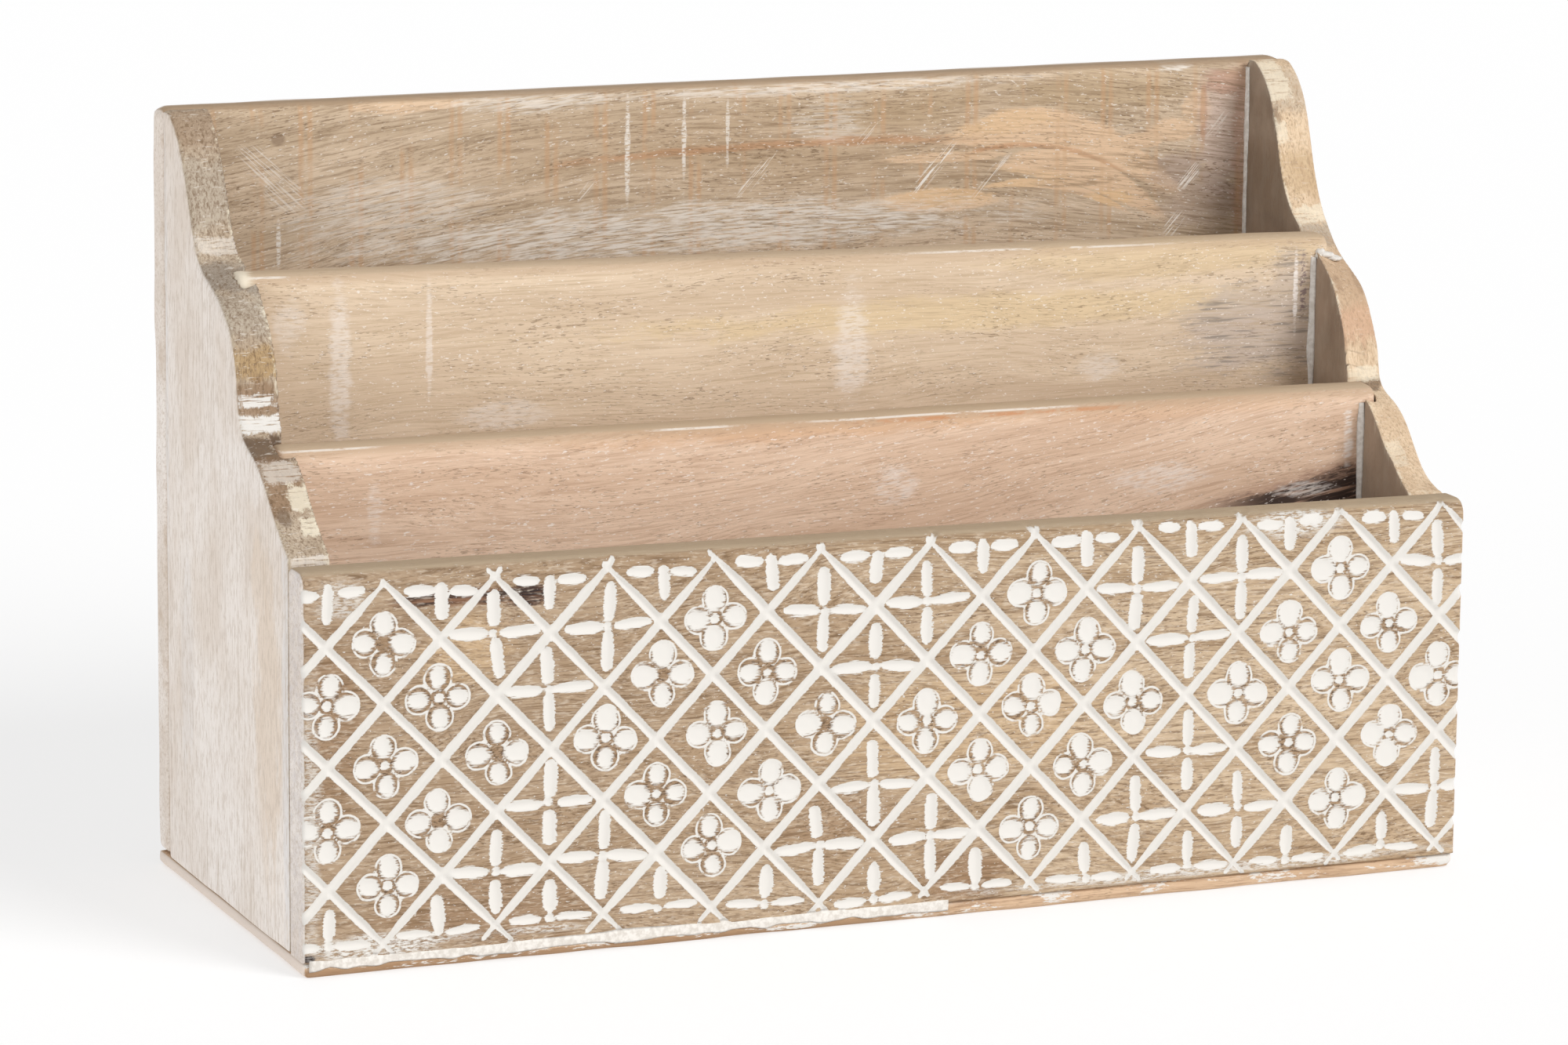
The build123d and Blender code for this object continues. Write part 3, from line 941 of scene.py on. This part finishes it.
def back_wood():
    wood = Finish("back_wood", arch=(15, 0.00066))
    bent = wood.arched(80, 0.0085)
    body = wood.spots((95, 186, 38, 6, 1.0), (100, 176.3, 26, 5, 1.0), (92, 170.7, 25, 1.4, 0.9),
                      ragged=0.3, place=bent, soft=0.12)
    lobes = wood.spots((58, 167, 19, 3.6, 0.85), (60, 178.7, 20, 1.6, 0.7), (117, 180.5, 8, 2.4, 0.9),
                       (127, 183, 8, 3.6, 0.85), (134, 188.5, 5, 5.5, 0.6), (-95, 199.5, 16, 2.2, 0.6),
                       ragged=0.4, soft=0.12)
    heart = body | lobes
    heart_tone = (217, 186, 154)
    rise = wood.grain_place.along("Z") + wood.ragged * (3 * mm)
    streak = rise.line(184.6, 1.6) * wood.spot(8, 182, 56, 30) * 0.6
    bend = bent.along("Z") + wood.ragged * (2 * mm)
    vein = bend.line(181, 1.0) * wood.spot(88, 181, 26, 30) * 0.7
    shade = wood.spots((25, 184, 75, 12, 0.45), (-40, 186, 40, 10, 0.3))
    olive = wood.spots((106, 195, 28, 6, 0.5), (40, 193, 30, 6, 0.3))
    lilac = wood.spot(142, 183, 9, 20) * 0.85
    grey = wood.spots((128, 172, 9, 5.5, 0.8), (136, 164, 14, 8, 0.6))
    red = wood.spots((144, 196, 9, 4, 0.5), (136, 188, 1.2, 9, 0.5), (148, 180, 3, 30, 0.4))
    patches = [((172, 146, 116), shade), ((172, 147, 112), olive), (heart_tone, heart),
               ((204, 182, 168), lilac), ((172, 152, 138), grey), ((184, 134, 94), streak | vein),
               ((180, 130, 104), red)]
    wood.planed((208, 186, 161), (184, 162, 136), (134, 110, 84), 0.65, patches=patches)
    knot = wood.spot(-129, 192.4, 2.0, 1.8, 0.4)
    wood.coat((126, 104, 84), knot * 0.6)
    marks = wood.comb(13.4, 2.4, 1.1)
    wood.coat((190, 150, 112), marks * wood.noise((9.0, None, 14.0)).step(0.38, 0.6) * 0.5)
    wood.coat(heart_tone, heart * 0.3)
    golden = wood.spots((62, 170, 28, 5, 0.6), (108, 165.4, 8, 2.6, 0.7), (70, 188, 22, 4, 0.4))
    wood.coat((220, 184, 138), heart * golden * 0.8)
    shadowed = wood.spots((97, 170, 12, 1.5, 0.7), (120, 174, 8, 2.2, 0.6), (70, 173, 13, 1.4, 0.5))
    wood.coat((144, 120, 92), shadowed * wood.flecks(7.0, 0.6, 0.36, 0.6))

    saw = wood.spots((-32.4, 184, 0.8, 16, 0.9), (-16.4, 187, 0.7, 13, 0.8), (-4, 189, 0.6, 9, 0.7),
                     (-129, 165, 0.7, 7, 0.9))
    saw = saw * wood.fine.step(-0.12, 0.04)
    rising = wood.scratches(48, (4, 176, 15, 3, 0.9), (56, 176, 18, 3.4, 1.0), (73, 173, 16, 3, 0.7),
                            (132, 170, 9, 4, 0.8), (128, 157, 8, 5, 0.9), (140, 184, 9, 3, 0.6),
                            (36, 186, 9, 2, 0.6), (-44, 175, 8, 2, 0.5))
    falling = wood.scratches(-42, (-133, 185, 16, 7, 0.6), (-127, 178, 14, 9, 0.5))
    wash = wood.spots((-20, 163, 95, 7, 0.8), (-100, 172, 28, 9, 0.5), (-60, 199, 20, 3, 0.6),
                      (25, 199.5, 60, 2, 0.6), (25, 190, 12, 6, 0.4), (127, 201, 6, 2, 0.9))
    wash = wash * wood.flecks(6.0, 0.5, 0.36, 0.62)
    crumbs = wood.flecks(1.5, 0.5, 0.63, 0.71) * 0.7
    wood.coat(wash_white, saw | rising | falling | wash | crumbs)

    top = wood.facing("Z", 1, 0.4, 0.8)
    wood.coat((160, 136, 110), top * 0.85)
    rear_top = top * wood.y.ramp(56, 58) * 0.7
    outside = wood.ends() | wood.facing("Y", 1) | rear_top
    bare = wood.grain(60.0, 9.0, 4.0, 0.6).step(0.52, 0.74) * 0.5
    broad = wood.grain(140.0, 16.0).step(0.45, 0.65) * 0.4
    wood.whitewash(outside, ((212, 198, 184), broad), ((186, 160, 132), bare))
    return wood.done()


def side_wood(name, outward, tones, pits, stains, dabs):
    """A side board: whitewashed outside, bare inside under painted shade, and a hand-cut edge with the stains
    and dabs of paint given. pits is how strongly the open pores of the edge show."""
    wood = Finish(name, grain_axis="Z")
    patches = [(shade, wood.spot(*spot) * strength) for shade, strength, *spot in stains]
    wood.planed(*tones, 0.5, patches=patches)
    open_pores = wood.noise((0.8, 1.2, 1.6)).step(0.52, 0.66)
    wood.coat(pore_brown, open_pores * pits)
    brush = wood.noise((8.0, 1.6, 0.5), 4.0, 0.65).step(0.36, 0.46)
    for shade, strength, x, z, width, height in dabs:
        across = wood.spot(x, z, width, None, soft=dab_edge)
        along = wood.spot(x, z, None, height, soft=dab_edge)
        wood.coat(shade, across * along * brush * strength)
    scuffs = wood.noise((3.0, 0.8, 0.5)).step(0.6, 0.68)
    wood.coat(wash_white, scuffs * pits * 0.7)
    inner_arris = (wood.x * -outward).ramp(-150.2, -149.4)
    wood.coat(cream, inner_arris * wood.ragged.step(0.0, 0.12) * 0.6)
    # Painted shade: the bare inner face is darkened to a cloudy grey brown, for the shade inside the rack.
    cloudy = wood.noise((None, 18.0, 26.0)).step(0.34, 0.66)
    painted_inner_shade = wood.blend(cloudy, (156, 136, 118), (126, 108, 92))
    wood.coat(painted_inner_shade, wood.facing("X", -outward) * 0.9)
    rubbed = wood.layer("arris").step(0.1, 0.35)
    wood.coat(cream, rubbed * wood.ragged.step(0.0, 0.15) * 0.35)

    turned = wood.join(wood.y, 0.0, wood.z)
    peach = wood.spots((-34, 60, 12, 40, 0.6), (-28, 95, 9, 12, 0.5), place=turned)
    smears = wood.spots((-49, 60, 4, 70, 0.7), (50, 140, 3, 70, 0.5), (34, 60, 6, 30, 0.3), place=turned)
    # Pale patches of wash; the broad low one is also painted light, making the foot of the side paler.
    clear = wood.spots((10, 20, 40, 40, 0.5), (-20, 120, 20, 8, 0.6), place=turned)
    # Painted shade: the washed outside turns darker towards the top.
    painted_shade_up_high = wood.z.ramp(70, 190) * 0.15
    patches = [((221, 199, 175), peach * 0.9), ((206, 190, 174), painted_shade_up_high), ((243, 237, 232), clear * 0.8),
               ((226, 223, 222), smears)]
    wood.whitewash(wood.facing("X", outward, 0.6, 0.9), *patches)
    return wood.done()


def top_grime_and_shade(wood, grime_and_shade, *lines):
    """The rounded top of a divider: painted shade on the rounding, hand grime greying the flat top, and thin
    white lines of paint along its front arris. The share given is how strong the shade and the grime are, and
    a line is its middle and half its length."""
    # Painted shade: darker wherever the surface turns upward, on the rounding and the flat top alike.
    wood.coat((178, 151, 124), wood.facing("Z", 1, 0.05, 0.6) * grime_and_shade)
    # Hand grime greys the flat of the top.
    wood.coat((178, 158, 132), wood.facing("Z", 1, 0.72, 0.9) * grime_and_shade)
    arris = wood.facing("Z", 1, 0.66, 0.71) * wood.facing("Z", -1, -0.84, -0.79)
    runs = wood.spots(*[(x, 0, reach, None, 0.75) for x, reach in lines])
    wood.coat(wash_white, arris * runs * wood.ragged.step(-0.12, 0.02))


def rear_divider_wood():
    wood = Finish("rear_divider_wood")
    honey = wood.spots((60, 144, 110, 5, 0.5), (110, 156, 50, 6, 0.4))
    grey = wood.spots((132, 136, 24, 14, 0.8), (142, 140, 9, 16, 0.7))
    patches = [((214, 188, 142), honey), ((188, 174, 165), grey * 0.8)]
    wood.planed((219, 197, 171), (206, 183, 157), (182, 158, 128), 0.5, 0.6, patches=patches)
    wood.coat((124, 116, 106), grey * wood.flecks(14.0, 0.9, 0.5, 0.64) * 0.8)
    smears = wood.spots((-127, 142, 3, 22, 0.5), (-103, 146, 1.0, 16, 0.5), (-82, 125, 12, 4, 0.4),
                        (14, 136, 5, 16, 0.5), (86, 127, 6, 4, 0.4), (-141, 151, 4, 7, 0.35),
                        (143.4, 145, 0.7, 10, 1.0))
    crumbs = wood.flecks(1.3, 0.5, 0.63, 0.71) * 0.75
    wood.coat((234, 225, 217), smears * wood.flecks(2.5, 0.5, 0.3, 0.55) | crumbs)
    specks = wood.spot(145.6, 146, 1.0, 9)
    wood.coat((128, 108, 108), specks * wood.flecks(1.4, 1.0, 0.46, 0.56) * 0.8)
    top_grime_and_shade(wood, 0.5, (68, 40), (-148, 8))
    putty = wood.spot(-154, 165, 4.5, 6, 0.6)
    wood.coat((222, 210, 190), putty)
    return wood.done()


def front_divider_wood():
    wood = Finish("front_divider_wood", arch=(-160, -0.0003))
    amber = wood.spots((-6, 124, 70, 4.5, 0.6), (100, 121, 40, 3, 0.3))
    patches = [((203, 160, 122), amber)]
    wood.planed((226, 197, 172), (213, 182, 156), (182, 148, 122), 0.45, 0.6, patches=patches)
    rise = wood.z - wood.x * 0.16 + wood.ragged * (7 * mm)
    to_right = wood.x.ramp(96, 124)
    halo = rise.ramp(82, 77) * rise.ramp(40, 60) * to_right
    wood.coat((140, 100, 82), halo * 0.6)
    stain = rise.ramp(79, 76.5) * rise.ramp(50, 66) * to_right
    wood.coat(stain_black, stain * wood.flecks(14.0, 0.8, 0.25, 0.5) * 0.95)
    smears = wood.spots((14, 106, 6, 5, 0.5), (90, 103, 14, 4, 0.5), (145, 111, 1.5, 7, 0.8),
                        (-128, 108, 2, 8, 0.4), (132, 97, 10, 2, 0.5))
    crumbs = wood.flecks(1.8, 0.5, 0.62, 0.7) * 0.7
    wood.coat((236, 226, 218), smears * wood.flecks(3.0, 0.5, 0.35, 0.6) | crumbs)
    top_grime_and_shade(wood, 0.7, (-140, 14), (-42, 12), (28, 44))
    arris = wood.facing("Z", 1, 0.3, 0.45) * wood.facing("Z", -1, -0.7, -0.55)
    ember = wood.spot(44, 0, 46, None)
    wood.coat((190, 130, 86), arris * ember * wood.ragged.step(-0.1, 0.1) * 0.7)
    return wood.done()


def base_wood():
    wood = Finish("base_wood")
    wood.planed((212, 182, 152), (194, 163, 132), (150, 118, 90), 0.5)
    front = wood.facing("Y", -1, 0.2, 0.6)
    rise = wood.z + wood.ragged * (5 * mm)
    to_left = (wood.x + wood.ragged * (60 * mm)).ramp(20, -10)
    # Painted shadow, with dark grime, on the front edge under the white band at the left.
    wood.coat((150, 116, 84), front * rise.ramp(2.4, 1.6) * to_left * 0.75)
    band = rise.ramp(2.5, 2.9) * to_left
    patches = wood.ragged.step(0.04, 0.12) * rise.ramp(1.2, 1.8)
    wood.coat(paint_white, front * (band | patches))
    low_edge = wood.z.ramp(0.2, 0.9)
    wood.coat((228, 215, 204), wood.ends() * low_edge * 0.95)
    return wood.done(0.78)


def plain_finish(name, first, second, roughness, metallic=0.0):
    """Steel, putty or glue: one tone with fine mottling."""
    film = Finish(name)
    mottle = film.noise((1.2, 1.2, 1.2), 4.0).step(0.35, 0.65)
    film.shader.inputs["Metallic"].default_value = metallic
    film.colour = film.blend(mottle, first, second)
    film.height = mottle * 0.2
    return film.done(roughness, bump=0.2)


# Stains and dabs of paint on the cut edges of the sides, from the top down: tone, strength, middle x and z,
# half width and half height
grey_wood = (172, 160, 144)
golden_wood = (172, 142, 98)
brown_wood = (138, 108, 80)
dark_wood = (92, 72, 56)
left_stains = [
    (brown_wood, 0.4, -154, 197, None, 5),
    (grey_wood, 0.7, -154, 182, None, 9),
    ((150, 140, 128), 0.8, -154, 163.5, None, 3),
    (grey_wood, 0.7, -154, 156, None, 5),
    (golden_wood, 0.8, -154, 145, None, 4),
    (brown_wood, 0.7, -154, 136, None, 5),
    (dark_wood, 0.85, -154, 125.4, None, 2.6),
    (brown_wood, 0.8, -154, 118, None, 6),
    (dark_wood, 0.6, -157, 112, 2, 2),
]
left_dabs = [
    (wash_white, 0.5, -154, 170, 6, 2.2),
    (paint_white, 1.0, -154.5, 136, 5, 1.8),
    (paint_white, 1.0, -154.5, 130.6, 6.5, 2.4),
    (wash_white, 0.5, -154.5, 121, 5, 2.4),
    (cream, 0.7, -151.5, 116, 3.2, 3.2),
    (cream, 0.7, -151.0, 110, 2.8, 2.0),
    (wash_white, 0.7, -153, 103, 7, 1.4),
]
right_stains = [
    (grey_wood, 0.5, 155, 194, None, 6),
    (dark_wood, 0.5, 150, 187, 1.5, 3),
    (golden_wood, 0.4, 155, 173, None, 6),
    (grey_wood, 0.8, 155, 158, None, 3.5),
    (dark_wood, 0.5, 151, 147.5, 1.5, 2.5),
    (dark_wood, 0.6, 158.5, 147, 1.5, 3),
    ((180, 150, 122), 0.7, 155, 144, None, 12),
    ((206, 164, 136), 0.5, 154, 138, None, 5),
    (dark_wood, 0.8, 156, 122.4, 4, 1.6),
]
right_dabs = [
    (cream, 0.55, 151.5, 197, 4, 5),
    (cream, 0.5, 150.5, 184, 2.4, 3),
    (cream, 0.55, 155, 162.6, 6, 2.4),
    (cream, 0.55, 154, 124.7, 5, 2),
    (cream, 0.35, 152, 108, 3, 3),
]
left_tones = (192, 175, 154), (172, 153, 131), (122, 100, 78)
right_tones = (222, 198, 168), (206, 180, 150), (176, 146, 116)

# Pieces


def dress(piece, material, slot, *nodes):
    """Gives a piece its material and its body, and puts it in the place of the CAD nodes it stands for."""
    piece.data.materials.append(material)
    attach(piece, "root")
    if nodes:
        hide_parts(*nodes)


left_wood = side_wood("left_side_wood", -1, left_tones, 0.6, left_stains, left_dabs)
right_wood = side_wood("right_side_wood", 1, right_tones, 0.25, right_stains, right_dabs)
dress(carved_panel(), carved_wood(), "carved_wood", "front_panel")
back = worn_copy("back_board", face_size=1.3, rub=0.5, seed=11, filler=("back_nail_filler", 1, 1))
dress(back, back_wood(), "back_wood", "back_board")
dress(worn_side("left_side", 1, seed=12), left_wood, "side_wood", "left_side")
dress(worn_side("right_side", -1, seed=13), right_wood, "side_wood", "right_side")
rear_divider = worn_copy("rear_divider", face_size=1.2, rub=0.4, seed=14)
dress(rear_divider, rear_divider_wood(), "divider_wood", "rear_divider")
front_divider = worn_copy("front_divider", face_size=1.2, rub=0.4, seed=15)
dress(front_divider, front_divider_wood(), "divider_wood", "front_divider")
base = worn_copy("base_board", face_size=1.3, rub=0.4, seed=16)
dress(base, base_wood(), "base_wood", "base_board")
dried_glue = plain_finish("dried_glue", (226, 221, 214), (206, 199, 190), 0.6)
dress(glue_piece(), dried_glue, "filler_putty")

nail_steel = plain_finish("nail_steel", (120, 118, 116), (160, 158, 154), 0.35, metallic=1.0)
filler_putty = plain_finish("filler_putty", (214, 204, 194), (200, 186, 170), 0.8)
for name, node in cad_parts.items():
    if "nail" in name:
        node.data.materials.clear()
        node.data.materials.append(filler_putty if "filler" in name else nail_steel)

# Camera, as it stood for the photograph
camera_azimuth = -22.45
camera_elevation = 11.68
camera_roll = 0.59
camera_distance = 1738.2
camera_target = Vector((-7.75, 0.0, 92.97)) * mm
camera_lens = 153.0

# Floor, in metres, and lights: azimuth, elevation, spread in degrees, and strength
floor_reach = 6.0
floor_grey = 0.42
floor_glow = 0.58
floor_roughness = 0.9
white_light = (1.0, 1.0, 1.0, 1.0)
sky_strength = 0.55
key_light = (32, 32, 30, 2.1)
fill_light = (-70, 4, 40, 0.98)


def toward(azimuth, elevation):
    """The way from the rack to something seen at this azimuth and elevation, in degrees; 0 is the front."""
    azimuth, elevation = math.radians(azimuth), math.radians(elevation)
    level = math.cos(elevation)
    return Vector((math.sin(azimuth) * level, -math.cos(azimuth) * level, math.sin(elevation)))


def add_camera():
    back = toward(camera_azimuth, camera_elevation)
    right = Vector((0.0, 0.0, 1.0)).cross(back).normalized()
    rise = back.cross(right)
    roll = math.radians(camera_roll)
    tilted_right = right * math.cos(roll) + rise * math.sin(roll)
    tilted_rise = rise * math.cos(roll) - right * math.sin(roll)
    camera = bpy.data.objects.new("camera", bpy.data.cameras.new("camera"))
    camera.data.lens = camera_lens
    turn = Matrix((tilted_right, tilted_rise, back)).transposed().to_4x4()
    camera.matrix_world = Matrix.Translation(camera_target + back * camera_distance * mm) @ turn
    bpy.context.scene.collection.objects.link(camera)
    bpy.context.scene.camera = camera


def add_floor():
    """White paper under the rack; it glows a little, so that the shadow on it stays pale."""
    mesh = bpy.data.meshes.new("floor")
    corners = [(x * floor_reach, y * floor_reach, 0) for x, y in ((-1, -1), (1, -1), (1, 1), (-1, 1))]
    mesh.from_pydata(corners, [], [(0, 1, 2, 3)])
    floor = bpy.data.objects.new("floor", mesh)
    material = bpy.data.materials.new("floor_paper")
    material.use_nodes = True
    shader = material.node_tree.nodes["Principled BSDF"]
    shader.inputs["Base Color"].default_value = (floor_grey, floor_grey, floor_grey, 1.0)
    shader.inputs["Roughness"].default_value = floor_roughness
    shader.inputs["Emission Color"].default_value = white_light
    shader.inputs["Emission Strength"].default_value = floor_glow
    mesh.materials.append(material)
    bpy.context.scene.collection.objects.link(floor)


def add_sun(name, azimuth, elevation, spread, strength):
    """A broad soft light, far away."""
    light = bpy.data.objects.new(name, bpy.data.lights.new(name, "SUN"))
    light.data.angle = math.radians(spread)
    light.data.energy = strength
    light.rotation_euler = toward(azimuth, elevation).to_track_quat("Z", "Y").to_euler()
    bpy.context.scene.collection.objects.link(light)


def add_light():
    world = bpy.data.worlds.new("studio")
    world.use_nodes = True
    sky = world.node_tree.nodes["Background"]
    sky.inputs["Color"].default_value = white_light
    sky.inputs["Strength"].default_value = sky_strength
    bpy.context.scene.world = world
    add_sun("key_light", *key_light)
    add_sun("fill_light", *fill_light)
    bpy.context.scene.view_settings.view_transform = "Standard"


add_camera()
add_floor()
add_light()
